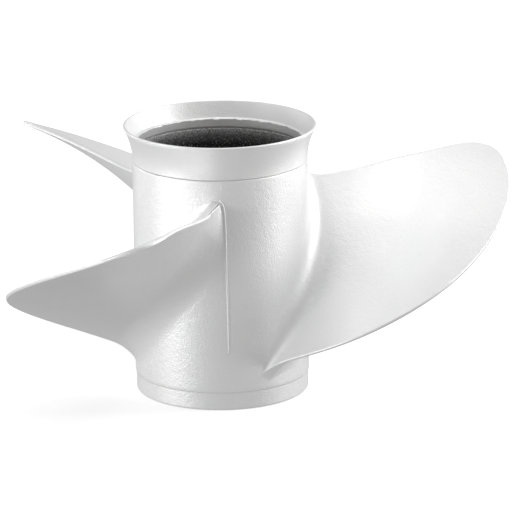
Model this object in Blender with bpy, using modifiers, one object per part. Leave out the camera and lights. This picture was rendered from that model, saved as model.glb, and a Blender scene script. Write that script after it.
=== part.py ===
"""Three-blade outboard propeller with an exhaust passage through its hub, standing on its forward rim.

Metres, +Z up. The origin is on the shaft axis in the plane of the forward rim, and +Z points aft.
The camera side of the reference view is -Y, and blade 1 reaches towards +X.
"""

import math

import bmesh
import bpy
import numpy as np

# Hub casting
BARREL_RADIUS = 0.054
BARREL_BORE_FORWARD = 0.0500
BARREL_BORE_AFT = 0.0509
SEAM_HEIGHT = 0.1458
SPIGOT_RADIUS = 0.0523
SPIGOT_TOP = 0.1520
LAND_HEIGHT = 0.0112
LAND_STEP = 0.0003
FORWARD_EDGE = 0.0012

# Flared ring on the aft end of the barrel
OVERALL_HEIGHT = 0.1679
FLARE_RADIUS = 0.0594
RIM_THICKNESS = 0.0023
LIP_HEIGHT = 0.1579
LIP_RADIUS = 0.0512

# Inner hub, its webs and the rubber drive bushing
INNER_HUB_RADIUS = 0.0315
INNER_HUB_BORE = 0.0262
INNER_HUB_BOTTOM = 0.008
INNER_HUB_TOP = 0.120
WEB_THICKNESS = 0.0064
WEB_BOTTOM = 0.014
WEB_TOP = 0.112
WEB_ANGLES = (90.0, 210.0, 330.0)
SLEEVE_RADIUS = 0.0165
SLEEVE_BOTTOM = 0.010
SLEEVE_TOP = 0.124
BUSHING_BOTTOM = 0.013
BUSHING_TOP = 0.115
SPLINE_TEETH = 13
SPLINE_ROOT_RADIUS = 0.0129
SPLINE_TIP_RADIUS = 0.0114
SEAT_RADIUS = 0.0150
SEAT_DEPTH = 0.006

# Blades: r = barrel + (tip - barrel) * sin(share * 90 degrees), so that the tip is round
BLADE_COUNT = 3
TIP_RADIUS = 0.1804
PITCH = 0.4477
ROOT_HEIGHT = 0.0934
RAKE = 0.337
RAKE_CURVE = -1.1
EDGE_SHARES = (0.0, 0.15, 0.30, 0.45, 0.60, 0.72, 0.82, 0.91, 1.0)
TRAILING_DEGREES = (30.5, 21.8, 19.5, 19.0, 18.6, 17.9, 16.2, 13.8, 9.8)
LEADING_DEGREES = (-54.8, -51.5, -46.4, -37.5, -25.3, -13.1, -3.1, 3.9, 9.8)
EDGE_HALF_THICKNESS = 0.0011
ROOT_THICKNESS = 0.0105
TIP_THICKNESS = 0.0015
FACE_HOLLOW = 0.0020
FILLET_RADIUS = 0.0105
FILLET_SUNK = 0.0006

# Making
GAP = 0.0003
TURNED_STEPS = 72
ROOT_RADIUS = BARREL_RADIUS + 0.0004
ROOT_SHARES = (0.0, 0.006, 0.014, 0.027, 0.045)
BLADE_RINGS = 17
CHORD_STEPS = 18
ROOT_FACE_STEPS = 4


def remove_all():
    for old in list(bpy.data.objects):
        bpy.data.objects.remove(old)


def new_collection(name, hidden=False):
    collection = bpy.data.collections.new(name)
    bpy.context.scene.collection.children.link(collection)
    collection.hide_render = hidden
    return collection


def finish_material(name, colour, roughness, metallic=0.0):
    material = bpy.data.materials.new(name)
    material.use_nodes = True
    shader = material.node_tree.nodes["Principled BSDF"]
    shader.inputs["Base Color"].default_value = (*colour, 1.0)
    shader.inputs["Roughness"].default_value = roughness
    shader.inputs["Metallic"].default_value = metallic
    return material


def add_object(name, mesh, collection, material=None):
    obj = bpy.data.objects.new(name, mesh)
    collection.objects.link(obj)
    if material:
        mesh.materials.append(material)
    return obj


def mesh_of(name, bm):
    """A mesh from a bmesh, with its faces turned outwards and its round faces shaded smooth."""
    bmesh.ops.recalc_face_normals(bm, faces=bm.faces)
    mesh = bpy.data.meshes.new(name)
    bm.to_mesh(mesh)
    bm.free()
    mesh.shade_smooth()
    mesh.set_sharp_from_angle(angle=math.radians(35))
    return mesh


def turned(name, profile, collection, material):
    """A closed (radius, height) outline, down its outer side first, turned round the shaft axis."""
    points = [(radius, 0.0, height) for radius, height in profile]
    edges = [(i, (i + 1) % len(points)) for i in range(len(points))]
    mesh = bpy.data.meshes.new(name)
    mesh.from_pydata(points, edges, [])
    obj = add_object(name, mesh, collection, material)
    screw = obj.modifiers.new("turn", "SCREW")
    screw.angle = math.tau
    screw.steps = screw.render_steps = TURNED_STEPS
    screw.use_merge_vertices = True
    screw.merge_threshold = 0.00001
    screw.use_smooth_shade = True
    return obj


def arc(centre, radius, start, end, steps):
    """Points of a circular arc in the (radius, height) plane, in degrees anticlockwise from outwards."""
    angles = np.radians(np.linspace(start, end, steps + 1))
    return [(centre[0] + radius * math.cos(a), centre[1] + radius * math.sin(a)) for a in angles]


def smooth_curve(shares, values):
    """A natural cubic spline through the values, as a function of the share."""
    x, y = np.array(shares), np.array(values)
    step, rise = np.diff(x), np.diff(y)
    matrix = np.eye(len(x))
    right = np.zeros(len(x))
    for i in range(1, len(x) - 1):
        matrix[i, i - 1 : i + 2] = step[i - 1], 2 * (step[i - 1] + step[i]), step[i]
        right[i] = 6 * (rise[i] / step[i] - rise[i - 1] / step[i - 1])
    bend = np.linalg.solve(matrix, right)

    def value(share):
        i = np.clip(np.searchsorted(x, share) - 1, 0, len(step) - 1)
        before, after = share - x[i], x[i + 1] - share
        curved = bend[i] * after**3 + bend[i + 1] * before**3
        straight = (y[i] * 6 - bend[i] * step[i] ** 2) * after
        straight = straight + (y[i + 1] * 6 - bend[i + 1] * step[i] ** 2) * before
        return (curved + straight) / (6 * step[i])

    return value


def make_barrel(collection, material):
    """The outer hub: a tube with a spigot for the ring and a turned land round its forward end."""
    land = BARREL_RADIUS - LAND_STEP
    profile = [
        (SPIGOT_RADIUS, SPIGOT_TOP),
        (SPIGOT_RADIUS, SEAM_HEIGHT),
        (BARREL_RADIUS, SEAM_HEIGHT),
        (BARREL_RADIUS, LAND_HEIGHT),
        (land, LAND_HEIGHT - LAND_STEP),
    ]
    profile += arc((land - FORWARD_EDGE, FORWARD_EDGE), FORWARD_EDGE, 0, -90, 3)
    profile += [(BARREL_BORE_FORWARD, 0.0), (BARREL_BORE_AFT, SPIGOT_TOP)]
    return turned("barrel", profile, collection, material)


def flare_radius(height):
    """Outer radius of the ring: a circular arc that leaves the barrel's side without a kink."""
    rise, reach = OVERALL_HEIGHT - SEAM_HEIGHT, FLARE_RADIUS - BARREL_RADIUS
    curve = (rise**2 + reach**2) / (2 * reach)
    return BARREL_RADIUS + curve - math.sqrt(curve**2 - (height - SEAM_HEIGHT) ** 2)


def make_ring(collection, material):
    """The flared ring: it sleeves over the barrel's spigot, and its inner side drops to a rounded lip."""
    foot = SEAM_HEIGHT + GAP
    half = RIM_THICKNESS / 2
    rim_height = OVERALL_HEIGHT - half
    rim_centre = (flare_radius(rim_height) - half, rim_height)
    profile = arc(rim_centre, half, 150, -20, 4)
    heights = np.linspace(rim_height - half, foot, 7)
    profile += [(flare_radius(h), h) for h in heights]
    skirt = SPIGOT_RADIUS + GAP
    ledge = SPIGOT_TOP + GAP
    profile += [(skirt, foot), (skirt, ledge), (LIP_RADIUS + GAP, ledge)]
    bead = 0.0006
    profile += arc((LIP_RADIUS + bead, LIP_HEIGHT - bead), bead, 225, 120, 3)
    inner_top = rim_centre[0] - half
    for share in (0.3, 0.6, 0.85):
        radius = LIP_RADIUS + (inner_top - LIP_RADIUS) * share**1.15
        profile.append((radius, LIP_HEIGHT + (rim_height - LIP_HEIGHT) * share))
    return turned("diffuser_ring", profile, collection, material)


def make_inner_hub(collection, material):
    """The inner hub: a plain tube, slightly rounded at both ends, that grips the rubber bushing."""
    edge = 0.0015
    profile = arc((INNER_HUB_RADIUS - edge, INNER_HUB_TOP - edge), edge, 90, 0, 2)
    profile += arc((INNER_HUB_RADIUS - edge, INNER_HUB_BOTTOM + edge), edge, 0, -90, 2)
    profile += [(INNER_HUB_BORE + edge, INNER_HUB_BOTTOM), (INNER_HUB_BORE, INNER_HUB_BOTTOM + edge)]
    profile += [(INNER_HUB_BORE, INNER_HUB_TOP)]
    return turned("inner_hub", profile, collection, material)


def make_web(number, degrees, collection, material):
    """One radial web between the inner hub and the barrel, with rounded edges."""
    near = INNER_HUB_RADIUS + GAP
    bore = BARREL_BORE_FORWARD - GAP
    far = math.sqrt(bore**2 - (WEB_THICKNESS / 2) ** 2) - GAP
    bm = bmesh.new()
    bmesh.ops.create_cube(bm, size=1.0)
    size = (far - near, WEB_THICKNESS, WEB_TOP - WEB_BOTTOM)
    bmesh.ops.scale(bm, vec=size, verts=bm.verts)
    middle = ((near + far) / 2, 0.0, (WEB_TOP + WEB_BOTTOM) / 2)
    bmesh.ops.translate(bm, vec=middle, verts=bm.verts)
    obj = add_object(f"web_{number}", mesh_of(f"web_{number}", bm), collection, material)
    obj.rotation_euler.z = math.radians(degrees)
    bevel = obj.modifiers.new("rounded edges", "BEVEL")
    bevel.width = 0.0016
    bevel.segments = 2
    return obj


def make_bushing(collection, material):
    """The rubber bushing, pressed between the inner hub and the splined sleeve."""
    outer, inner = INNER_HUB_BORE - GAP, SLEEVE_RADIUS + GAP
    edge = 0.002
    profile = [
        (outer - edge, BUSHING_TOP),
        (outer, BUSHING_TOP - edge),
        (outer, BUSHING_BOTTOM + edge),
        (outer - edge, BUSHING_BOTTOM),
        (inner, BUSHING_BOTTOM),
        (inner, BUSHING_TOP),
    ]
    return turned("rubber_bushing", profile, collection, material)


def spline_cutter(collection):
    """The shaft's form: a prism with one straight-sided tooth for each groove of the sleeve."""
    tooth = math.tau / SPLINE_TEETH
    ring = []
    for i in range(SPLINE_TEETH):
        for share, radius in (
            (-0.30, SPLINE_TIP_RADIUS),
            (-0.19, SPLINE_ROOT_RADIUS),
            (0.19, SPLINE_ROOT_RADIUS),
            (0.30, SPLINE_TIP_RADIUS),
        ):
            angle = (i + share) * tooth
            ring.append((radius * math.cos(angle), radius * math.sin(angle), SLEEVE_BOTTOM - 0.01))
    bm = bmesh.new()
    face = bm.faces.new([bm.verts.new(point) for point in ring])
    raised = bmesh.ops.extrude_face_region(bm, geom=[face])["geom"]
    tops = [item for item in raised if isinstance(item, bmesh.types.BMVert)]
    bmesh.ops.translate(bm, vec=(0, 0, SLEEVE_TOP - SLEEVE_BOTTOM + 0.02), verts=tops)
    return add_cutter("spline_cutter", mesh_of("spline_cutter", bm), collection)


def add_cutter(name, mesh, collection):
    cutter = add_object(name, mesh, collection)
    cutter.hide_render = True
    cutter.display_type = "WIRE"
    return cutter


def cut(obj, cutter):
    boolean = obj.modifiers.new(cutter.name, "BOOLEAN")
    boolean.operation = "DIFFERENCE"
    boolean.object = cutter


def make_sleeve(collection, cutters, material):
    """The brass sleeve on the shaft: splined inside, with a tapered thrust seat at its forward end."""
    core = 0.008
    edge = 0.001
    profile = [
        (SLEEVE_RADIUS - edge, SLEEVE_TOP),
        (SLEEVE_RADIUS, SLEEVE_TOP - edge),
        (SLEEVE_RADIUS, SLEEVE_BOTTOM),
        (SEAT_RADIUS, SLEEVE_BOTTOM),
        (SPLINE_TIP_RADIUS - 0.001, SLEEVE_BOTTOM + SEAT_DEPTH),
        (core, SLEEVE_BOTTOM + SEAT_DEPTH),
        (core, SLEEVE_TOP),
    ]
    sleeve = turned("splined_sleeve", profile, collection, material)
    cut(sleeve, spline_cutter(cutters))
    return sleeve


def blade_section(share, trailing, leading):
    """One closed section of a blade, on the cylinder that lies that share of the way to the tip.

    It gives the angles round the shaft and the heights of the aft side, from the leading to the
    trailing edge, and of the forward side. The section follows a helix of the propeller's pitch.
    Its aft side, the pressure face, is slightly hollow, and its back is arched. Near the barrel
    every side moves outwards by a circular arc, so the blade runs into the barrel with a fillet.
    """
    reach = TIP_RADIUS - BARREL_RADIUS
    radius = max(BARREL_RADIUS + reach * math.sin(share * math.pi / 2), ROOT_RADIUS)
    out = radius - BARREL_RADIUS
    span = out / reach
    rise = PITCH / math.tau
    slope = math.atan2(rise, radius)
    first, last = np.radians([leading(share), trailing(share)])
    middle = (first + last) / 2

    to_foot = max(FILLET_RADIUS - FILLET_SUNK - out, 0.0)
    fillet = FILLET_RADIUS - math.sqrt(FILLET_RADIUS**2 - to_foot**2)
    half_chord = (last - first) / 2 * math.hypot(radius, rise) + fillet
    across = np.sin(np.linspace(-math.pi / 2, math.pi / 2, CHORD_STEPS + 1))

    nose = EDGE_HALF_THICKNESS + fillet
    depth = np.clip((1 - np.abs(across)) * half_chord / nose, 0, 1)
    edge = nose * np.sqrt(1 - (1 - depth) ** 2)
    taper = (1 - across**2) * math.sqrt(1 - span**4)
    arch = (ROOT_THICKNESS + (TIP_THICKNESS - ROOT_THICKNESS) * span**0.6) * taper
    hollow = FACE_HOLLOW * 4 * span * (1 - span) * taper

    sides = []
    for offset in (edge - hollow, -edge - hollow - arch):
        along = across * half_chord
        angle = middle + (along * math.cos(slope) - offset * math.sin(slope)) / radius
        height = rise * middle + along * math.sin(slope) + offset * math.cos(slope)
        sides.append((angle, height + ROOT_HEIGHT + RAKE * out + RAKE_CURVE * out**2))
    return radius, sides[0], sides[1]


def on_cylinder(radius, angle, height):
    """Points of the cylinder of that radius, from angles and heights."""
    angle, height = np.broadcast_arrays(angle, height)
    return np.stack([radius * np.cos(angle), radius * np.sin(angle), height], axis=-1)


def add_grid(bm, points):
    """A sheet of quadrilaterals through a grid of points."""
    rows = [[bm.verts.new(point) for point in row] for row in points]
    for lower, upper in zip(rows, rows[1:]):
        for i in range(len(lower) - 1):
            bm.faces.new((lower[i], lower[i + 1], upper[i + 1], upper[i]))


def blade_mesh():
    """The two sides lofted through the sections, with a root face that follows the barrel."""
    trailing = smooth_curve(EDGE_SHARES, TRAILING_DEGREES)
    leading = smooth_curve(EDGE_SHARES, LEADING_DEGREES)
    shares = np.concatenate([ROOT_SHARES, np.linspace(ROOT_SHARES[-1], 1.0, BLADE_RINGS)[1:]])
    sections = [blade_section(share, trailing, leading) for share in shares]
    bm = bmesh.new()
    add_grid(bm, [on_cylinder(radius, *aft) for radius, aft, _ in sections])
    add_grid(bm, [on_cylinder(radius, *forward) for radius, _, forward in sections])
    radius, aft, forward = sections[0]
    weights = np.linspace(0, 1, ROOT_FACE_STEPS + 1)[:, None]
    angles = aft[0] + (forward[0] - aft[0]) * weights
    heights = aft[1] + (forward[1] - aft[1]) * weights
    add_grid(bm, on_cylinder(radius, angles, heights))
    radius, aft, forward = sections[-1]
    add_grid(bm, [on_cylinder(radius, *aft), on_cylinder(radius, *forward)])
    bmesh.ops.remove_doubles(bm, verts=bm.verts, dist=0.00001)
    return mesh_of("blade", bm)


def make_blades(collection, material):
    """The three blades share one mesh."""
    mesh = blade_mesh()
    mesh.materials.append(material)
    for number in range(BLADE_COUNT):
        blade = add_object(f"blade_{number + 1}", mesh, collection)
        blade.rotation_euler.z = math.tau * number / BLADE_COUNT


def main():
    remove_all()
    parts = new_collection("propeller")
    cutters = new_collection("cutters", hidden=True)
    white = finish_material("white_paint", (0.86, 0.86, 0.86), 0.32)
    casting = finish_material("dark_casting", (0.06, 0.06, 0.065), 0.8)
    rubber = finish_material("rubber", (0.03, 0.03, 0.03), 0.85)
    brass = finish_material("brass", (0.62, 0.47, 0.22), 0.35, 1.0)
    make_barrel(parts, white)
    make_ring(parts, white)
    make_blades(parts, white)
    make_inner_hub(parts, casting)
    for number, degrees in enumerate(WEB_ANGLES, start=1):
        make_web(number, degrees, parts, casting)
    make_bushing(parts, rubber)
    make_sleeve(parts, cutters, brass)


main()
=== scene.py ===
import math

import bmesh
import bpy
import numpy as np
from mathutils import Matrix, Vector


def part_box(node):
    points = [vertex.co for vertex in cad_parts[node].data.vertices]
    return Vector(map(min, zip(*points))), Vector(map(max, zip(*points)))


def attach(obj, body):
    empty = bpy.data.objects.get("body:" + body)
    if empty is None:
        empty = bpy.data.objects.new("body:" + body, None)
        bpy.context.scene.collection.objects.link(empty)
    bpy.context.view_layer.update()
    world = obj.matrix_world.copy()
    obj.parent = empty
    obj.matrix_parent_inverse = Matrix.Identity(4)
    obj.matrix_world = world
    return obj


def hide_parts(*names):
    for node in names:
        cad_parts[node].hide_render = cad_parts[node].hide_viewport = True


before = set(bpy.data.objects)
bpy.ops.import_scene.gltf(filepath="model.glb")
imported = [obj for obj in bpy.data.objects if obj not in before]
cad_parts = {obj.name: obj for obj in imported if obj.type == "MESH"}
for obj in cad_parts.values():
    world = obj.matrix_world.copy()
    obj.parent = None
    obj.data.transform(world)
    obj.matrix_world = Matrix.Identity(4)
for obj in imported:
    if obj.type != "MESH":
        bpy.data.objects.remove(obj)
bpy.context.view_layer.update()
scene = bpy.context.scene

# Camera
# A long lens, 2.9 m away and 16 degrees above the horizon, aimed a little to the right of the shaft
# axis at half the hub's height. It leans by about half a degree. White is shown as plain white.
CAMERA_AIM = np.array([0.02217, 0.0, 0.08232])
CAMERA_DISTANCE = 2.880
CAMERA_ELEVATION = math.radians(16.17)
CAMERA_ROLL = math.radians(-0.59)
CAMERA_LENS_MM = 325.8

camera_data = bpy.data.cameras.new("camera")
camera_data.lens = CAMERA_LENS_MM
camera = bpy.data.objects.new("camera", camera_data)
scene.collection.objects.link(camera)
camera_tilt = Matrix.Rotation(math.pi / 2 - CAMERA_ELEVATION, 4, "X")
camera_back = np.array([0.0, -math.cos(CAMERA_ELEVATION), math.sin(CAMERA_ELEVATION)])
camera_place = Matrix.Translation(CAMERA_AIM + camera_back * CAMERA_DISTANCE)
camera.matrix_world = camera_place @ camera_tilt @ Matrix.Rotation(CAMERA_ROLL, 4, "Z")
scene.camera = camera
scene.view_settings.view_transform = "Standard"

# Barrel of the hub
# The outer tube of one aluminium casting, enamelled white outside and left rough inside. It is
# turned at both ends: a spigot for the flared ring aft, and forward a land that is stepped back.
FIT_GAP = 0.0003
barrel_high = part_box("barrel")[1]
BARREL_RADIUS = barrel_high.x
SPIGOT_TOP = barrel_high.z
SEAM_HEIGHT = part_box("diffuser_ring")[0].z - FIT_GAP
SPIGOT_RADIUS = BARREL_RADIUS - 0.0017
BORE_FORWARD = 0.0500
BORE_AFT = 0.0509
MOUTH_ROUNDING = 0.001
SHOULDER_BEVEL = 0.0003
LAND_HEIGHT = 0.0112
LAND_STEP = 0.0005
LAND_BEVEL = 0.0001
RIM_ROUNDING = 0.0012
SPRAY_AND_SHADE_DEPTH = 0.014
MERGE_DISTANCE = 0.000004

# Rows stand this close beside an edge and at the start of a wall, so that edges shade crisply.
EDGE_ROW = 0.0003
WALL_ROW = 0.001
AROUND = np.linspace(0, math.tau, 432 + 1)


def new_material(name, colour, roughness, metallic=0.0):
    """A Principled material, its shader and its node tree."""
    material = bpy.data.materials.new(name)
    material.use_nodes = True
    tree = material.node_tree
    shader = tree.nodes["Principled BSDF"]
    shader.inputs["Base Color"].default_value = (*colour, 1.0)
    shader.inputs["Roughness"].default_value = roughness
    shader.inputs["Metallic"].default_value = metallic
    return material, shader, tree


def add_noise(tree, scale, detail=3.0, roughness=0.5):
    """Noise on Object coordinates, with that many waves to the metre."""
    place = tree.nodes.get("place") or tree.nodes.new("ShaderNodeTexCoord")
    place.name = "place"
    noise = tree.nodes.new("ShaderNodeTexNoise")
    noise.inputs["Scale"].default_value = scale
    noise.inputs["Detail"].default_value = detail
    noise.inputs["Roughness"].default_value = roughness
    tree.links.new(place.outputs["Object"], noise.inputs["Vector"])
    return noise.outputs["Fac"]


def add_range(tree, value, source, target):
    """The value, carried in a straight line from the source range to the target range."""
    node = tree.nodes.new("ShaderNodeMapRange")
    for socket, number in zip(node.inputs[1:5], (*source, *target)):
        socket.default_value = number
    tree.links.new(value, node.inputs["Value"])
    return node.outputs["Result"]


def add_ramp(tree, value, *stops):
    """The value as a colour, from stops of (place, grey or colour)."""
    node = tree.nodes.new("ShaderNodeValToRGB")
    ramp = node.color_ramp
    while len(ramp.elements) < len(stops):
        ramp.elements.new(0.5)
    for element, (place, colour) in zip(ramp.elements, stops):
        element.position = place
        element.color = (*(colour if isinstance(colour, tuple) else (colour,) * 3), 1.0)
    tree.links.new(value, node.inputs["Fac"])
    return node.outputs["Color"]


def add_bump(tree, shader, *layers):
    """Bumps laid one over another on the shader's normal, from (height socket, depth in metres)."""
    before = None
    for height, depth in layers:
        bump = tree.nodes.new("ShaderNodeBump")
        bump.inputs["Distance"].default_value = depth
        tree.links.new(height, bump.inputs["Height"])
        if before:
            tree.links.new(before, bump.inputs["Normal"])
        before = bump.outputs["Normal"]
    tree.links.new(before, shader.inputs["Normal"])


def white_enamel():
    """Sprayed enamel over cast aluminium: satin, with orange peel and a trace of sand grain."""
    material, shader, tree = new_material("hub_enamel", (0.85, 0.85, 0.85), 0.45, metallic=0.45)
    shader.inputs["Coat Weight"].default_value = 0.25
    shader.inputs["Coat Roughness"].default_value = 0.08
    patches = add_noise(tree, 22, detail=2)
    grain = add_noise(tree, 1100, roughness=0.6)
    peel = add_noise(tree, 300, detail=2)
    colour = add_ramp(tree, patches, (0.3, (0.835, 0.837, 0.84)), (0.7, (0.865, 0.865, 0.862)))
    tree.links.new(colour, shader.inputs["Base Color"])
    tree.links.new(add_range(tree, grain, (0.3, 0.7), (0.40, 0.50)), shader.inputs["Roughness"])
    add_bump(tree, shader, (peel, 0.00016), (grain, 0.0002))
    return material


def dark_casting():
    """The rough inside of the casting: black primer, grained. The colour is grey at the mouth from
    white overspray and painted light, and darkens down the bore as painted shade.
    """
    material, shader, tree = new_material("rough_casting", (0.03, 0.03, 0.032), 0.85)
    grain = add_noise(tree, 1200, roughness=0.65)
    specks = add_noise(tree, 1000, roughness=0.6)
    lumps = add_noise(tree, 120)
    primer = add_ramp(tree, specks, (0.42, 0.004), (0.55, 0.018), (0.68, 0.28))
    spray_and_light_colour = add_ramp(tree, grain, (0.36, 0.16), (0.50, 0.40), (0.64, 0.70))
    split = tree.nodes.new("ShaderNodeSeparateXYZ")
    tree.links.new(tree.nodes["place"].outputs["Object"], split.inputs["Vector"])
    # Painted shade: going down the bore, the colour falls from the grey of the mouth to the black
    # primer. That grey is overspray and painted light.
    spray_and_shade_span = (SPIGOT_TOP - SPRAY_AND_SHADE_DEPTH, SPIGOT_TOP)
    depth = add_range(tree, split.outputs["Z"], spray_and_shade_span, (0, 1))
    spray_and_shade_cover = add_ramp(tree, depth, (0.3, 0.0), (0.65, 0.26), (1.0, 1.0))
    mix = tree.nodes.new("ShaderNodeMix")
    mix.data_type = "RGBA"
    first_colour, second_colour, mixed_colour = mix.inputs[6], mix.inputs[7], mix.outputs[2]
    tree.links.new(spray_and_shade_cover, mix.inputs["Factor"])
    tree.links.new(primer, first_colour)
    tree.links.new(spray_and_light_colour, second_colour)
    tree.links.new(mixed_colour, shader.inputs["Base Color"])
    tree.links.new(add_range(tree, grain, (0.3, 0.7), (0.7, 0.95)), shader.inputs["Roughness"])
    add_bump(tree, shader, (lumps, 0.00015), (grain, 0.0004))
    return material


def grid_mesh(name, *grids):
    """A mesh through grids of points (rows, columns, xyz), merged where points coincide."""
    points, faces, used = [], [], 0
    for grid in grids:
        rows, columns = grid.shape[:2]
        index = used + np.arange(rows * columns).reshape(rows, columns)
        corners = [index[:-1, :-1], index[:-1, 1:], index[1:, 1:], index[1:, :-1]]
        faces.append(np.stack(corners, axis=-1).reshape(-1, 4))
        points.append(grid.reshape(-1, 3))
        used += rows * columns
    mesh = bpy.data.meshes.new(name)
    mesh.from_pydata(np.concatenate(points).tolist(), [], np.concatenate(faces).tolist())
    bm = bmesh.new()
    bm.from_mesh(mesh)
    bmesh.ops.remove_doubles(bm, verts=bm.verts, dist=MERGE_DISTANCE)
    bmesh.ops.recalc_face_normals(bm, faces=bm.faces)
    bm.to_mesh(mesh)
    bm.free()
    mesh.shade_smooth()
    return mesh


def add_piece(mesh, materials, slot, *nodes):
    """An object of the mesh's name. It rides on the one body and may stand for CAD nodes."""
    piece = bpy.data.objects.new(mesh.name, mesh)
    scene.collection.objects.link(piece)
    for material in materials:
        mesh.materials.append(material)
    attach(piece, "root")
    if nodes:
        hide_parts(*nodes)


def turned(profile, angles):
    """Each (radius, height) of the profile at each angle: x = r cos a, y = r sin a, z = h."""
    radius, height = np.array(profile).T[:, :, None]
    sides = [radius * np.cos(angles), radius * np.sin(angles), height + 0 * angles]
    return np.stack(sides, axis=-1)


def arc(centre, radius, start, end, steps):
    """Points of a circle in the (radius, height) plane, with angles in degrees from outwards."""
    angles = np.radians(np.linspace(start, end, steps + 1))
    return list(zip(centre[0] + radius * np.cos(angles), centre[1] + radius * np.sin(angles)))


def straight(radius, start, end, count):
    """Points of a straight wall: one radius, with heights in even steps from start to end."""
    return [(radius, height) for height in np.linspace(start, end, count)]


def barrel_skin():
    """The tube's closed profile, turned round: down the outer side, then up the bore.

    The bore's radius grows in a straight line from the forward end to the aft one, where a quarter
    of a circle rounds its mouth.
    """
    land, land_top = BARREL_RADIUS - LAND_STEP, LAND_HEIGHT
    profile = [(BARREL_RADIUS - SHOULDER_BEVEL, SEAM_HEIGHT)]
    profile += [(BARREL_RADIUS, SEAM_HEIGHT - SHOULDER_BEVEL)]
    profile += straight(BARREL_RADIUS, SEAM_HEIGHT - WALL_ROW, land_top + 2 * EDGE_ROW, 60)
    profile += [(BARREL_RADIUS - LAND_BEVEL, land_top + LAND_BEVEL)]
    profile += [(land, land_top), (land, land_top - EDGE_ROW)]
    profile += straight(land, land_top - WALL_ROW, RIM_ROUNDING + EDGE_ROW, 5)
    profile += arc((land - RIM_ROUNDING, RIM_ROUNDING), RIM_ROUNDING, 0, -90, 6)
    up = np.linspace(0, 1, 40)[:-1]
    profile += list(zip(BORE_FORWARD + (BORE_AFT - BORE_FORWARD) * up, SPIGOT_TOP * up))
    mouth = (BORE_AFT + MOUTH_ROUNDING, SPIGOT_TOP - MOUTH_ROUNDING)
    profile += arc(mouth, MOUTH_ROUNDING, 180, 90, 6)
    profile += [(SPIGOT_RADIUS, SPIGOT_TOP), (SPIGOT_RADIUS, SEAM_HEIGHT)]
    return grid_mesh("hub_barrel", turned(profile + profile[:1], AROUND))


enamel = white_enamel()
casting = dark_casting()
barrel_mesh = barrel_skin()
add_piece(barrel_mesh, [enamel, casting], "white_enamel", "barrel")

# The bore and its rounded mouth take the casting's material: its own rough finish, with painted
# shade darkening it down the bore.
face_centres = np.empty(len(barrel_mesh.polygons) * 3)
barrel_mesh.polygons.foreach_get("center", face_centres)
face_radii = np.hypot(*face_centres.reshape(-1, 3).T[:2])
in_bore = face_radii < BORE_AFT + 1.1 * MOUTH_ROUNDING
barrel_mesh.polygons.foreach_set("material_index", in_bore.astype(np.int32))

# Blades
# Three swept, raked blades cast in one with the barrel: hollow on the aft side, arched on the
# forward side, cut square along the trailing edge and round along the leading edge. A fillet
# spreads from both sides of the root, and a crease runs on from each edge to the barrel.
BLADE_ANGLES = [math.tau * number / 3 for number in range(3)]
TIP_RADIUS = 0.18036
PITCH = 0.4477
ROOT_HEIGHT = 0.09343
RAKE = 0.3373
RAKE_CURVE = -1.076

# Where both edges lie round the axis. A share is 2 / pi times the arcsine of the way out.
LEADING_SHARES = (0.0, 0.15, 0.30, 0.45, 0.60, 0.72, 0.82, 0.91, 1.0)
LEADING_DEGREES = (-54.8, -51.5, -46.36, -37.54, -25.26, -13.12, -3.11, 3.87, 9.84)
TRAILING_SHARES = (0.0, 0.05, 0.10, 0.15, 0.30, 0.45, 0.60, 0.72, 0.82, 0.91, 1.0)
TRAILING_DEGREES = (30.3, 25.2, 22.8, 21.4, 19.7, 18.82, 18.67, 17.94, 16.18, 13.84, 9.84)

# The section: its edges, its arch and its hollow.
EDGE_HALF_THICKNESS = 0.0011
TRAILING_SQUARENESS = 6
ROOT_THICKNESS = 0.0105
TIP_THICKNESS = 0.0015
THICKNESS_FALL = 0.6
FACE_HOLLOW = 0.0020

# The fillet at the root. It runs past the ends of the chord and narrows towards the edges.
FILLET_RADIUS = 0.0130
LEADING_RUN = 0.75
TRAILING_RUN = 0.03
AFT_LEADING_FADE = 0.045
FORWARD_LEADING_FADE = 0.022
TRAILING_FADE = 0.025
AFT_SHARE_AT_ENDS = (0.28, 0.38)
FORWARD_LEADING_SHARE = 0.05

# The ends of the root: creases, a blunt nose ahead, and a ramp and a slit behind.
ROOT_BLEND = 0.002
CREASE_ROUNDING = 0.0004
AFT_END_REACH = 0.0036
MEETING_SHARE = 0.85
NOSE_BODY = 0.0020
NOSE_REACH = 0.016
RAMP_LENGTHS = (0.020, 0.007)
RAMP_TOP = 0.0125
RAMP_BLEND = 0.0030
RAMP_EDGE = 0.0006
RAMP_SQUARENESS = 1.15
SLIT_DEPTH = 0.0014
SLIT_HALF = 0.00027
SLIT_FADE = 0.0018

# The foot runs on under the barrel's skin to these depths, and spreads by these widths more.
TUCK_DEPTHS = (0.0012, 0.0005, 0.0001)
TUCK_SPREADS = (0.0016, 0.0012, 0.0005)
FILLET_ROWS = 34
SPAN_ROWS = 100
CHORD_STEPS = 160


def smooth_curve(shares, values):
    """A natural cubic spline through the values, as a function of arrays of shares."""
    x, y = np.array(shares), np.array(values)
    step, rise = np.diff(x), np.diff(y)
    matrix = np.eye(len(x))
    right = np.zeros(len(x))
    for i in range(1, len(x) - 1):
        matrix[i, i - 1 : i + 2] = step[i - 1], 2 * (step[i - 1] + step[i]), step[i]
        right[i] = 6 * (rise[i] / step[i] - rise[i - 1] / step[i - 1])
    bend = np.linalg.solve(matrix, right)

    def value(share):
        i = np.clip(np.searchsorted(x, share) - 1, 0, len(step) - 1)
        before, after = share - x[i], x[i + 1] - share
        curved = bend[i] * after**3 + bend[i + 1] * before**3
        straight_part = (y[i] * 6 - bend[i] * step[i] ** 2) * after
        straight_part = straight_part + (y[i + 1] * 6 - bend[i + 1] * step[i] ** 2) * before
        return (curved + straight_part) / (6 * step[i])

    return value


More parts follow.
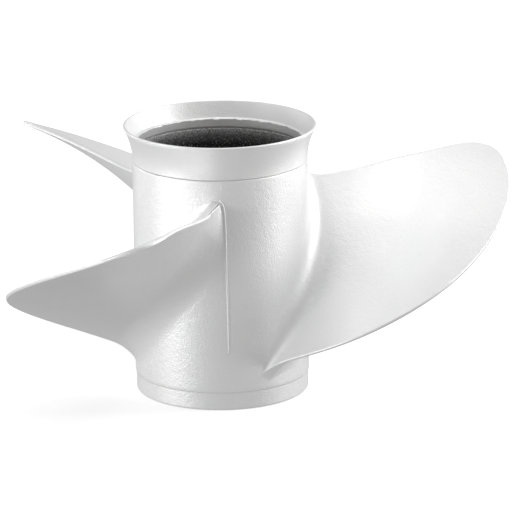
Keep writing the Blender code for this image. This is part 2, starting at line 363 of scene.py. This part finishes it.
trailing_angle = smooth_curve(TRAILING_SHARES, np.radians(TRAILING_DEGREES))
leading_angle = smooth_curve(LEADING_SHARES, np.radians(LEADING_DEGREES))


def smooth_step(share):
    """Rises from 0 to 1 as the share does, level at both ends: 3 s^2 - 2 s^3."""
    share = np.clip(share, 0, 1)
    return share * share * (3 - 2 * share)


def rounding(distance, reach, power):
    """A superellipse's quarter: 0 at the edge, 1 from the reach on, squarer with a higher power."""
    depth = np.clip(distance / reach, 0, 1)
    return (1 - (1 - depth) ** power) ** (1 / power)


def side_thickness(out, fillet, ahead, behind, side):
    """How far a side stands off the chord, before it closes at the edges.

    It is half the edge's thickness plus a share of the fillet. On the aft side (side 1) the share
    falls off towards both edges. On the forward side (side -1) it falls off towards the leading
    edge, where a blunt nose is added near the barrel.
    """
    lead = smooth_step(ahead / (AFT_LEADING_FADE if side > 0 else FORWARD_LEADING_FADE))
    if side > 0:
        trail = np.clip(behind / TRAILING_FADE, 0, 1)
        at_lead, at_trail = AFT_SHARE_AT_ENDS
        share = (at_lead + (1 - at_lead) * lead) * (at_trail + (1 - at_trail) * trail)
        return EDGE_HALF_THICKNESS + fillet * share
    share = FORWARD_LEADING_SHARE + (1 - FORWARD_LEADING_SHARE) * lead
    nose = NOSE_BODY * (1 - smooth_step(out / NOSE_REACH)) * (1 - lead)
    return EDGE_HALF_THICKNESS + fillet * share + nose


def close_forward_trail(out, depth, from_trail):
    """Closes the forward side at the trailing edge: cut square, or with a ramp near the barrel.

    The ramp is a nearly straight superellipse, long at its foot and shorter above. At its end a
    blunt part is left, a share b / t of the depth t.
    """
    square = rounding(from_trail, EDGE_HALF_THICKNESS, TRAILING_SQUARENESS)
    at_foot, at_top = RAMP_LENGTHS
    length = at_foot + (at_top - at_foot) * np.clip(out / RAMP_TOP, 0, 1)
    blunt = RAMP_EDGE / depth
    sloped = blunt * square + (1 - blunt) * rounding(from_trail, length, RAMP_SQUARENESS)
    ramp = smooth_step((RAMP_TOP - out) / RAMP_BLEND)
    return (1 - ramp) * square + ramp * sloped


def blade_side(out, fillet, across, side, turn):
    """Points of one side of a blade.

    out is the height above the barrel and fillet how far the sides have spread there. across runs
    from -1 at the leading edge to 1 at the trailing edge, along a helix of the propeller's pitch.
    The offset of a side from the helix is its thickness, plus a parabola that arches the forward
    side (side -1), less one that hollows the aft side (side 1). At each edge the thickness closes
    by a superellipse on a meeting line, which lies close under the aft face at the ends of the
    root. The distance e to an edge and t to the tip count together, as e t / sqrt(e^2 + t^2), so
    the side closes at the tip as well. A slit is cut into the trailing edge at the meeting line: it
    moves a point back by s exp(-(d / w)^2), with d the distance from that line.
    """
    span = np.clip(out / (TIP_RADIUS - BARREL_RADIUS), 0, 1)
    radius = BARREL_RADIUS + out
    rise = PITCH / math.tau
    slope = np.arctan2(rise, radius)
    share = np.arcsin(span) * 2 / math.pi
    first, last = leading_angle(share), trailing_angle(share)
    half_chord = (last - first) / 2 * np.hypot(radius, rise)
    start = -half_chord - LEADING_RUN * fillet
    end = half_chord + TRAILING_RUN * fillet
    half_width = (end - start) / 2
    along = (start + end) / 2 + across * half_width
    ahead, behind = (1 + across) * half_width, (1 - across) * half_width

    root = smooth_step(fillet / ROOT_BLEND)
    thick = side_thickness(out, fillet, ahead, behind, side)
    meet_lead = MEETING_SHARE * root * (EDGE_HALF_THICKNESS + fillet * AFT_SHARE_AT_ENDS[0])
    meet_trail = MEETING_SHARE * EDGE_HALF_THICKNESS
    to_tip = np.maximum(TIP_RADIUS - radius, 1e-7)
    from_lead = ahead * to_tip / np.hypot(ahead, to_tip)
    from_trail = behind * to_tip / np.hypot(behind, to_tip)
    if side > 0:
        leading_round = EDGE_HALF_THICKNESS * (1 - root) + CREASE_ROUNDING * root
        close_lead = rounding(from_lead, leading_round, 2)
        close_trail = rounding(from_trail, CREASE_ROUNDING + AFT_END_REACH * root, 2)
    else:
        close_lead = rounding(from_lead, thick, 2 + 2 * root)
        close_trail = close_forward_trail(out, thick + meet_trail, from_trail)
    meet_trail = meet_trail * close_lead
    offset = side * thick * close_lead * close_trail
    offset = offset + meet_lead * (1 - close_lead) * close_trail + meet_trail * (1 - close_trail)

    fade_at_tip = np.sqrt(1 - span**4)
    slit = np.exp(-(((offset - meet_trail) / SLIT_HALF) ** 2) - (behind / SLIT_FADE) ** 2)
    along = along - SLIT_DEPTH * slit * fade_at_tip

    taper = (1 - across**2) * fade_at_tip
    thickness = ROOT_THICKNESS + (TIP_THICKNESS - ROOT_THICKNESS) * span**THICKNESS_FALL
    hollow = FACE_HOLLOW * 4 * span * (1 - span)
    offset = offset - (hollow + thickness * (side < 0)) * taper
    angle = turn + (first + last) / 2
    angle = angle + (along * np.cos(slope) - offset * np.sin(slope)) / radius
    height = ROOT_HEIGHT + RAKE * out + RAKE_CURVE * out**2 + rise * (first + last) / 2
    height = height + along * np.sin(slope) + offset * np.cos(slope)
    return np.stack([radius * np.cos(angle), radius * np.sin(angle), height], axis=-1)


def blade_skin(number, turn):
    """Both sides of a blade from its foot, tucked under the barrel's skin, to its tip.

    Over the fillet, out = R (1 - cos a) and the sides spread by R (1 - sin a), so the foot leaves
    the barrel without a corner. It runs on a little under the skin, so that no edge shows. Beyond
    the fillet, out follows a sine so that the rows crowd at the tip. The columns follow a sine as
    well, with a few more close to the trailing edge, which is square.
    """
    bend = np.linspace(0, math.pi / 2, FILLET_ROWS)
    reach = TIP_RADIUS - BARREL_RADIUS
    beyond = np.linspace(math.asin(FILLET_RADIUS / reach), math.pi / 2, SPAN_ROWS)[1:]
    tuck, tuck_spread = -np.array(TUCK_DEPTHS), FILLET_RADIUS + np.array(TUCK_SPREADS)
    out = [tuck, FILLET_RADIUS * (1 - np.cos(bend)), reach * np.sin(beyond)]
    fillet = [tuck_spread, FILLET_RADIUS * (1 - np.sin(bend)), 0 * beyond]
    out, fillet = np.concatenate(out)[:, None], np.concatenate(fillet)[:, None]
    across = np.sin(np.linspace(-math.pi / 2, math.pi / 2, CHORD_STEPS + 1))
    crowded = 1 - np.array([8e-5, 1.5e-5, 2e-6, 2.3e-7, 2.7e-8, 2e-9, 3e-11])
    across = np.concatenate([across[:-1], crowded, across[-1:]])[None]
    aft = blade_side(out, fillet, across, 1, turn)
    forward = blade_side(out, fillet, across, -1, turn)
    weights = np.linspace(0, 1, 9)[:, None, None]
    foot = aft[0] + (forward[0] - aft[0]) * weights
    foot_radius = BARREL_RADIUS + out[0]
    foot[..., :2] *= (foot_radius / np.hypot(foot[..., 0], foot[..., 1]))[..., None]
    return grid_mesh(f"propeller_blade_{number}", aft, forward, foot)


for number, turn in enumerate(BLADE_ANGLES, start=1):
    add_piece(blade_skin(number, turn), [enamel], "white_enamel", f"blade_{number}")

# Parting ridges
# Where the mould's halves met, a ridge hooks round the trailing edge's root and runs down the
# barrel, and a fine line runs up to the seam. They are part of the casting, under the same enamel.
RIDGE_DEGREES = (29.7, 30.1, 31.0, 32.0, 32.6, 33.0, 33.6, 33.8, 34.2, 34.8)
RIDGE_HEIGHTS = (0.1340, 0.1335, 0.1323, 0.1302, 0.1278, 0.1240, 0.1026, 0.0868, 0.0741, 0.0360)
RIDGE_HALF_WIDTH = 0.00062
RIDGE_PROUD = 0.00068
FINE_DEGREES = (30.2, 30.7, 31.1, 31.2)
FINE_HEIGHTS = (0.1325, 0.1354, 0.1410, 0.1456)
FINE_HALF_WIDTH = 0.00028
FINE_PROUD = 0.00007
BEAD_TUCK = 0.0002
BEAD_POINT = 0.012
BEAD_FALL = 0.55
BEAD_FALL_START = 0.6


def bead(degrees, heights, half_width, proud, turn):
    """A closed bead along a curve on the barrel, through the given angles and heights.

    Across it, the side step is w cos b and the rise above the barrel p sin b. Below the skin it is
    shallow. Both ends taper to a point, and towards its far end the bead gets lower.
    """
    along = np.hypot(np.diff(np.radians(degrees)) * BARREL_RADIUS, np.diff(heights))
    stations = np.concatenate([[0], np.cumsum(along)])
    stations = stations / stations[-1]
    share = np.linspace(0, 1, 260)
    arc_place = smooth_curve(stations, np.radians(degrees) * BARREL_RADIUS)(share)
    height = smooth_curve(stations, heights)(share)
    step, climb = np.gradient(arc_place), np.gradient(height)
    length = np.hypot(step, climb)
    taper = np.sqrt(np.clip(np.minimum(share, 1 - share) / BEAD_POINT, 0, 1))
    fall = 1 - BEAD_FALL * smooth_step((share - BEAD_FALL_START) / (1 - BEAD_FALL_START))
    round_it = np.linspace(0, math.tau, 17)[None]
    side = (half_width * taper)[:, None] * np.cos(round_it)
    tall = np.where(np.sin(round_it) > 0, proud, BEAD_TUCK)
    radius = BARREL_RADIUS + tall * np.sin(round_it) * (taper * fall)[:, None]
    angle = turn + (arc_place[:, None] + side * (climb / length)[:, None]) / BARREL_RADIUS
    height = height[:, None] - side * (step / length)[:, None]
    return np.stack([radius * np.cos(angle), radius * np.sin(angle), height], axis=-1)


for number, turn in enumerate(BLADE_ANGLES, start=1):
    ridge = bead(RIDGE_DEGREES, RIDGE_HEIGHTS, RIDGE_HALF_WIDTH, RIDGE_PROUD, turn)
    fine = bead(FINE_DEGREES, FINE_HEIGHTS, FINE_HALF_WIDTH, FINE_PROUD, turn)
    add_piece(grid_mesh(f"parting_ridge_{number}", ridge, fine), [enamel], "white_enamel")

# Diffuser ring
# A flared ring pressed over the barrel's spigot at the aft end, of the same metal and enamelled
# with the hub. Its thin rim is rounded. Inside, it drops to a small uneven lip over a throat.
ring_low, ring_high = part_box("diffuser_ring")
RING_TOP = ring_high.z
FLARE_RADIUS = 0.0594
FLARE_HOLLOW = 0.92
FLARE_START = (0.0014, -0.0002)
RIM_HALF = 0.0008
RIM_STEP = 0.0007
RIM_STEP_EDGE = 0.0003
RIM_STEP_RUN = 0.0007
SKIRT_ROUNDING = 0.0004
THROAT_BEVEL = (0.0003, 0.0004)
LIP_RADIUS = 0.0512
LIP_HEIGHT = 0.1579
LIP_ROUNDING = 0.0006
LIP_ROWS = 7
LIP_WAVES = (
    (0.00011, 23, 0.4),
    (0.00010, 41, 1.9),
    (0.00013, 67, 4.0),
    (0.00010, 113, 2.2),
)


def ring_skin():
    """The ring's closed profile, turned round the shaft axis.

    Outside, a circle leaves the barrel's side without a kink and touches the rim's own circle. With
    centres (B + C, seam) and (a, b) and radii C and r, that needs (B + C - a)^2 + h^2 = (C + r)^2.
    Just under the rim a shallow step is turned in, which runs out downwards as exp(-d / l). Inside,
    the flare comes down to the lip in a slightly hollow line. The lip's height and radius waver by
    up to 0.4 mm, as sums of sines and cosines.
    """
    a, b = FLARE_RADIUS - RIM_HALF, RING_TOP - RIM_HALF
    near, h = a - BARREL_RADIUS, b - SEAM_HEIGHT
    curve = (near**2 + h**2 - RIM_HALF**2) / (2 * (near + RIM_HALF))
    touch = math.atan2(-h, curve - near)
    profile = arc((a, b), RIM_HALF, 165, math.degrees(touch), 14)

    foot, below = ring_low.z, profile[-1][1]
    near_rim, near_foot = 0.002, below - foot - SKIRT_ROUNDING - 0.0001
    drops = [np.linspace(0, near_rim, 15)[1:], np.linspace(near_rim, near_foot, 36)[1:]]
    drops = np.concatenate(drops)
    heights = below - drops
    radii = BARREL_RADIUS + curve - np.sqrt(curve**2 - (heights - SEAM_HEIGHT) ** 2)
    step = RIM_STEP * smooth_step(drops / RIM_STEP_EDGE) * np.exp(-drops / RIM_STEP_RUN)
    profile += list(zip(radii - step, heights))

    edge = (BARREL_RADIUS - SKIRT_ROUNDING, foot + SKIRT_ROUNDING)
    profile += arc(edge, SKIRT_ROUNDING, 0, -90, 4)
    skirt, ledge = SPIGOT_RADIUS + FIT_GAP, SPIGOT_TOP + FIT_GAP
    profile += [(skirt, foot), (skirt, ledge), (LIP_RADIUS + THROAT_BEVEL[0], ledge)]
    profile += straight(LIP_RADIUS, ledge + THROAT_BEVEL[1], LIP_HEIGHT - LIP_ROUNDING, 8)
    lip = slice(len(profile), len(profile) + LIP_ROWS)
    centre = (LIP_RADIUS + LIP_ROUNDING, LIP_HEIGHT - LIP_ROUNDING)
    profile += arc(centre, LIP_ROUNDING, 170, 60, LIP_ROWS - 1)

    low, high = (LIP_RADIUS + FLARE_START[0], LIP_HEIGHT + FLARE_START[1]), profile[0]
    shares = np.linspace(0, 1, 26)[1:-1]
    radii = low[0] + (high[0] - low[0]) * shares**FLARE_HOLLOW
    profile += list(zip(radii, low[1] + (high[1] - low[1]) * shares))

    grid = turned(profile + profile[:1], AROUND)
    waver = sum(size * np.sin(count * AROUND + phase) for size, count, phase in LIP_WAVES)
    sway = sum(size * np.cos(count * AROUND + phase) for size, count, phase in LIP_WAVES)
    weight = np.sin(np.linspace(0.3, math.pi - 0.3, LIP_ROWS))[:, None]
    grid[lip, :, 2] += weight * waver
    grid[lip, :, :2] *= (1 + weight * sway / LIP_RADIUS)[..., None]
    return grid_mesh("flared_ring", grid)


add_piece(ring_skin(), [enamel], "white_enamel", "diffuser_ring")

# Inner hub and webs
# The inner tube of the casting and the three webs that carry it, rough from the mould under primer.
# Fillets run each web into both tubes.
hub_low, hub_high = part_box("inner_hub")
web_low, web_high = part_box("web_1")
HUB_RADIUS = hub_high.x
HUB_BORE = 0.0262
HUB_EDGE = 0.0015
WEB_HALF = 0.0032
WEB_FILLET = 0.0050
WEB_TUCK = 0.0005
WEB_DEGREES = (90, 210, 330)
CAP_ROWS = 5
CAST_WAVES = ((0.00008, 7, 90, 0.3), (0.00006, 19, 210, 2.0), (0.00005, 31, 470, 4.4))
TURNS_ACROSS_WEB = 40


def cast_waver(angle, height):
    """The unevenness of a sand-cast face: a sum of sines of the angle and the height."""
    return sum(s * np.sin(n * angle + k * height + p) for s, n, k, p in CAST_WAVES)


def hub_tube():
    """The inner tube's closed profile, rounded at its edges and turned round.

    Its outer side wavers in and out as a cast face does.
    """
    top, foot, edge = hub_high.z, hub_low.z, HUB_EDGE
    outer = arc((HUB_RADIUS - edge, top - edge), edge, 90, 0, 5)
    outer += straight(HUB_RADIUS, top - 2 * edge, foot + 2 * edge, 70)
    outer += arc((HUB_RADIUS - edge, foot + edge), edge, 0, -90, 5)
    inner = arc((HUB_BORE + edge, foot + edge), edge, -90, -180, 5)
    inner += straight(HUB_BORE, foot + 2 * edge, top - 2 * edge, 12)
    inner += arc((HUB_BORE + edge, top - edge), edge, 180, 90, 5)
    grid = turned(outer + inner + outer[:1], AROUND)
    waver = cast_waver(AROUND, grid[: len(outer), :, 2])
    grid[: len(outer), :, :2] *= (1 + waver / HUB_RADIUS)[..., None]
    grid[-1] = grid[0]
    return grid_mesh("hub_tube", grid)


def web_skin(number, turn):
    """A web: a tall section with round ends, carried outwards from the inner tube to the barrel.

    At each tube the section widens by R (1 - sin a) where it is R (1 - cos a) away, a fillet. It
    follows the tube's curve, x^2 + y^2 = r^2, and is closed inside the tube's wall.
    """
    bend = np.linspace(0, math.pi / 2, 12)
    near, wide = WEB_FILLET * (1 - np.cos(bend)), WEB_FILLET * (1 - np.sin(bend))
    reach = (BORE_FORWARD + BORE_AFT) / 2 - HUB_RADIUS
    inside, widest = np.full(CAP_ROWS, -WEB_TUCK), np.full(CAP_ROWS, WEB_FILLET)
    out = np.concatenate([inside, near, reach - near[::-1], reach - inside])[:, None]
    widen = np.concatenate([widest, wide, wide[::-1], widest])[:, None]
    shrink = np.ones((len(out), 1))
    shrink[:CAP_ROWS, 0] = np.linspace(0, 1, CAP_ROWS)
    shrink[-CAP_ROWS:, 0] = np.linspace(1, 0, CAP_ROWS)

    turn_up = np.linspace(0, math.pi, 15)
    sides = np.linspace(1, -1, 26)[1:-1]
    one = np.ones(len(sides))
    cosines = np.concatenate([np.cos(turn_up), -one, -np.cos(turn_up), one, [1]])
    sines = np.concatenate([np.sin(turn_up), 0 * one, -np.sin(turn_up), 0 * one, [0]])
    level = np.concatenate([1 + 0 * turn_up, sides, -1 + 0 * turn_up, -sides, [1]])
    middle = (web_high.z + web_low.z) / 2
    half_height = (web_high.z - web_low.z) / 2 - WEB_HALF
    half_width = WEB_HALF + widen
    y = half_width * cosines * shrink
    z = middle + (half_height * level + half_width * sines) * shrink
    bore = BORE_FORWARD + (BORE_AFT - BORE_FORWARD) * z / SPIGOT_TOP
    radius = HUB_RADIUS + out * (bore - HUB_RADIUS) / reach
    y = y + cast_waver(y * TURNS_ACROSS_WEB + turn, z) * (1 - widen / WEB_FILLET)
    x = np.sqrt(radius**2 - y**2)
    cosine, sine = math.cos(turn), math.sin(turn)
    grid = np.stack([x * cosine - y * sine, x * sine + y * cosine, z], axis=-1)
    return grid_mesh(f"hub_web_{number}", grid)


add_piece(hub_tube(), [casting], "dark_casting", "inner_hub")
for number, degrees in enumerate(WEB_DEGREES, start=1):
    web_mesh = web_skin(number, math.radians(degrees))
    add_piece(web_mesh, [casting], "dark_casting", f"web_{number}")

# Rubber bushing
# A thick tube of hard black rubber, pressed into the inner hub to take up shocks. Both its ends are
# dished, with moulded pockets between low ribs.
bush_low, bush_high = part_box("rubber_bushing")
BUSH_OUTER = bush_high.x
BUSH_INNER = 0.0168
BUSH_EDGE = 0.0016
DISH_DEPTH = 0.0012
POCKETS = 12
POCKET_DEPTH = 0.0009


def black_rubber():
    """Moulded rubber: black with a greyish bloom, matt, with a fine skin and soft unevenness."""
    material, shader, tree = new_material("hub_rubber", (0.02, 0.02, 0.02), 0.7)
    bloom = add_noise(tree, 60, detail=4)
    skin = add_noise(tree, 900)
    colour = add_ramp(tree, bloom, (0.35, (0.016, 0.016, 0.017)), (0.7, (0.045, 0.045, 0.047)))
    tree.links.new(colour, shader.inputs["Base Color"])
    tree.links.new(add_range(tree, bloom, (0.3, 0.7), (0.55, 0.8)), shader.inputs["Roughness"])
    add_bump(tree, shader, (bloom, 0.0003), (skin, 0.0001))
    return material


def bushing_skin():
    """The bushing's closed profile turned round, with a dish d and pockets p in each end.

    With s the share of the way across an end face, the dish is d sin(pi s), and a pocket adds
    p (1 + cos(12 a)) / 2 sin^2(pi s).
    """
    around = np.linspace(0, math.tau, 288 + 1)
    inner, outer, edge = BUSH_INNER, BUSH_OUTER - BUSH_EDGE, BUSH_EDGE
    top, foot = bush_high.z, bush_low.z
    ends = np.linspace(0, 1, 22)
    face = [(inner + (outer - inner) * s, top) for s in ends]
    side = arc((outer, top - edge), edge, 90, 0, 5)[1:]
    side += straight(BUSH_OUTER, top - 2.5 * edge, foot + 2.5 * edge, 16)
    side += arc((outer, foot + edge), edge, 0, -90, 5)[:-1]
    back = [(outer - (outer - inner) * s, foot) for s in ends]
    bore = straight(inner, foot, top, 12)[1:]
    grid = turned(face + side + back + bore, around)
    bulge = np.sin(math.pi * ends)[:, None]
    pocket = POCKET_DEPTH * (1 + np.cos(POCKETS * around)) / 2
    hollow = DISH_DEPTH * bulge + bulge**2 * pocket
    grid[: len(ends), :, 2] -= hollow
    back_row = len(face + side)
    grid[back_row : back_row + len(ends), :, 2] += hollow
    return grid_mesh("drive_bushing", grid)


add_piece(bushing_skin(), [black_rubber()], "rubber", "rubber_bushing")

# Splined sleeve
# A brass sleeve, turned outside and broached inside with 13 splines, bonded into the rubber. The
# forward end opens in a cone for the thrust washer.
sleeve_low, sleeve_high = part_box("splined_sleeve")
SLEEVE_RADIUS = sleeve_high.x
SLEEVE_EDGE = 0.0008
SPLINE_COUNT = 13
SPLINE_MIDDLE = 0.01215
SPLINE_HALF = 0.00075
SPLINE_STEEPNESS = 2.2
CONE_MOUTH = 0.0150
CONE_END = 0.0104
CONE_DEPTH = 0.006
CHAMFER = 0.0016


def turned_brass():
    """Machined brass: rings from the lathe round the axis, and a slight darkening from handling.

    The rings are noise of the distance from the shaft axis and of the height alone.
    """
    material, shader, tree = new_material("sleeve_brass", (0.62, 0.47, 0.22), 0.3, metallic=1.0)
    tarnish = add_noise(tree, 90, detail=4)
    split = tree.nodes.new("ShaderNodeSeparateXYZ")
    tree.links.new(tree.nodes["place"].outputs["Object"], split.inputs["Vector"])
    flat = tree.nodes.new("ShaderNodeCombineXYZ")
    tree.links.new(split.outputs["X"], flat.inputs["X"])
    tree.links.new(split.outputs["Y"], flat.inputs["Y"])
    length = tree.nodes.new("ShaderNodeVectorMath")
    length.operation = "LENGTH"
    tree.links.new(flat.outputs["Vector"], length.inputs[0])
    rings = tree.nodes.new("ShaderNodeCombineXYZ")
    tree.links.new(length.outputs["Value"], rings.inputs["X"])
    tree.links.new(split.outputs["Z"], rings.inputs["Y"])
    marks = tree.nodes.new("ShaderNodeTexNoise")
    marks.inputs["Scale"].default_value = 4000
    tree.links.new(rings.outputs["Vector"], marks.inputs["Vector"])
    colour = add_ramp(tree, tarnish, (0.3, (0.52, 0.38, 0.17)), (0.7, (0.68, 0.53, 0.27)))
    tree.links.new(colour, shader.inputs["Base Color"])
    tree.links.new(add_range(tree, tarnish, (0.3, 0.7), (0.42, 0.24)), shader.inputs["Roughness"])
    add_bump(tree, shader, (marks.outputs["Fac"], 0.00002))
    return material


def sleeve_skin():
    """Down the turned outside, then up the bore, whose radius is the larger of cone and splines.

    The splines' radius is m + h times a cosine wave, steepened and cut off flat at both limits. At
    the aft end the bore widens again by a small chamfer.
    """
    around = np.linspace(0, math.tau, SPLINE_COUNT * 32 + 1)
    top, foot, edge, aft_edge = sleeve_high.z, sleeve_low.z, SLEEVE_EDGE, SLEEVE_EDGE / 2
    outside = arc((SLEEVE_RADIUS - edge, top - edge), edge, 90, 0, 4)
    outside += straight(SLEEVE_RADIUS, top - 5 * edge, foot + 5 * edge, 12)
    outside += arc((SLEEVE_RADIUS - aft_edge, foot + aft_edge), aft_edge, 0, -90, 4)
    outside.append((CONE_MOUTH, foot))

    wave = np.clip(SPLINE_STEEPNESS * np.cos(SPLINE_COUNT * around), -1, 1)
    splines = SPLINE_MIDDLE + SPLINE_HALF * wave
    cone_share = np.linspace(0, 1, 16)[1:]
    cone = CONE_MOUTH + (CONE_END - CONE_MOUTH) * cone_share
    middle = np.linspace(foot + CONE_DEPTH + 0.004, top - CHAMFER - 0.0002, 14)
    chamfer = CHAMFER * np.linspace(0, 1, 5)
    least = np.concatenate([cone, 0 * middle, SPLINE_MIDDLE - SPLINE_HALF + chamfer])[:, None]
    up = np.concatenate([foot + CONE_DEPTH * cone_share, middle, top - CHAMFER + chamfer])[:, None]
    wall = np.maximum(least, splines)
    bore = np.stack([wall * np.cos(around), wall * np.sin(around), up + 0 * around], axis=-1)
    grid = np.concatenate([turned(outside, around), bore])
    return grid_mesh("drive_sleeve", np.concatenate([grid, grid[:1]]))


add_piece(sleeve_skin(), [turned_brass()], "brass", "splined_sleeve")

# Floor and light
# A plain white table, lit evenly from inside like a photographer's light table, which casts no
# glare back up. Soft boxes stand at the right, left and above, with weaker ones behind.
FLOOR_HALF = 6
FLOOR_GLOW = 0.42
SURROUND_GLOW = 0.435
LIGHT_DISTANCE = 1.6
LIGHT_AIM = Vector((0.0, 0.0, 0.08))

floor_mesh = bpy.data.meshes.new("floor")
floor_corners = np.array([(-1, -1, 0), (1, -1, 0), (1, 1, 0), (-1, 1, 0)]) * FLOOR_HALF
floor_mesh.from_pydata(floor_corners.tolist(), [], [(0, 1, 2, 3)])
floor = bpy.data.objects.new("floor", floor_mesh)
floor.visible_diffuse = False
floor.visible_glossy = False
scene.collection.objects.link(floor)
floor_paint, floor_shader = new_material("floor_white", (0.86, 0.86, 0.86), 0.9)[:2]
floor_shader.inputs["Emission Color"].default_value = (1.0, 1.0, 1.0, 1.0)
floor_shader.inputs["Emission Strength"].default_value = FLOOR_GLOW
floor_mesh.materials.append(floor_paint)


def soft_box(name, azimuth, elevation, size, watts):
    """A square area light at that bearing from the object, in degrees from the camera's side."""
    turn, climb = math.radians(azimuth), math.radians(elevation)
    level = math.cos(climb)
    away = Vector((math.sin(turn) * level, -math.cos(turn) * level, math.sin(climb)))
    data = bpy.data.lights.new(name, "AREA")
    data.size = size
    data.energy = watts
    light = bpy.data.objects.new(name, data)
    scene.collection.objects.link(light)
    light.location = LIGHT_AIM + away * LIGHT_DISTANCE
    light.rotation_euler = (-away).to_track_quat("-Z", "Y").to_euler()


soft_box("left_low_box", azimuth=-60, elevation=3, size=0.5, watts=13.2)
soft_box("left_side_box", azimuth=-80, elevation=3, size=0.5, watts=1.8)
soft_box("left_behind_box", azimuth=-120, elevation=3, size=0.5, watts=4.3)
soft_box("right_high_box", azimuth=100, elevation=35, size=0.6, watts=9.9)
soft_box("right_low_box", azimuth=80, elevation=3, size=0.5, watts=6.0)
soft_box("right_side_box", azimuth=80, elevation=10, size=0.6, watts=2.2)
soft_box("right_behind_box", azimuth=120, elevation=3, size=0.5, watts=5.2)
soft_box("top_box", azimuth=0, elevation=90, size=0.6, watts=4.9)
soft_box("rear_left_box", azimuth=-135, elevation=62, size=0.6, watts=1.9)
soft_box("rear_top_box", azimuth=180, elevation=62, size=0.6, watts=0.7)

world = bpy.data.worlds.new("surround")
scene.world = world
world.use_nodes = True
surround = world.node_tree.nodes["Background"]
surround.inputs["Color"].default_value = (1.0, 1.0, 1.0, 1.0)
surround.inputs["Strength"].default_value = SURROUND_GLOW
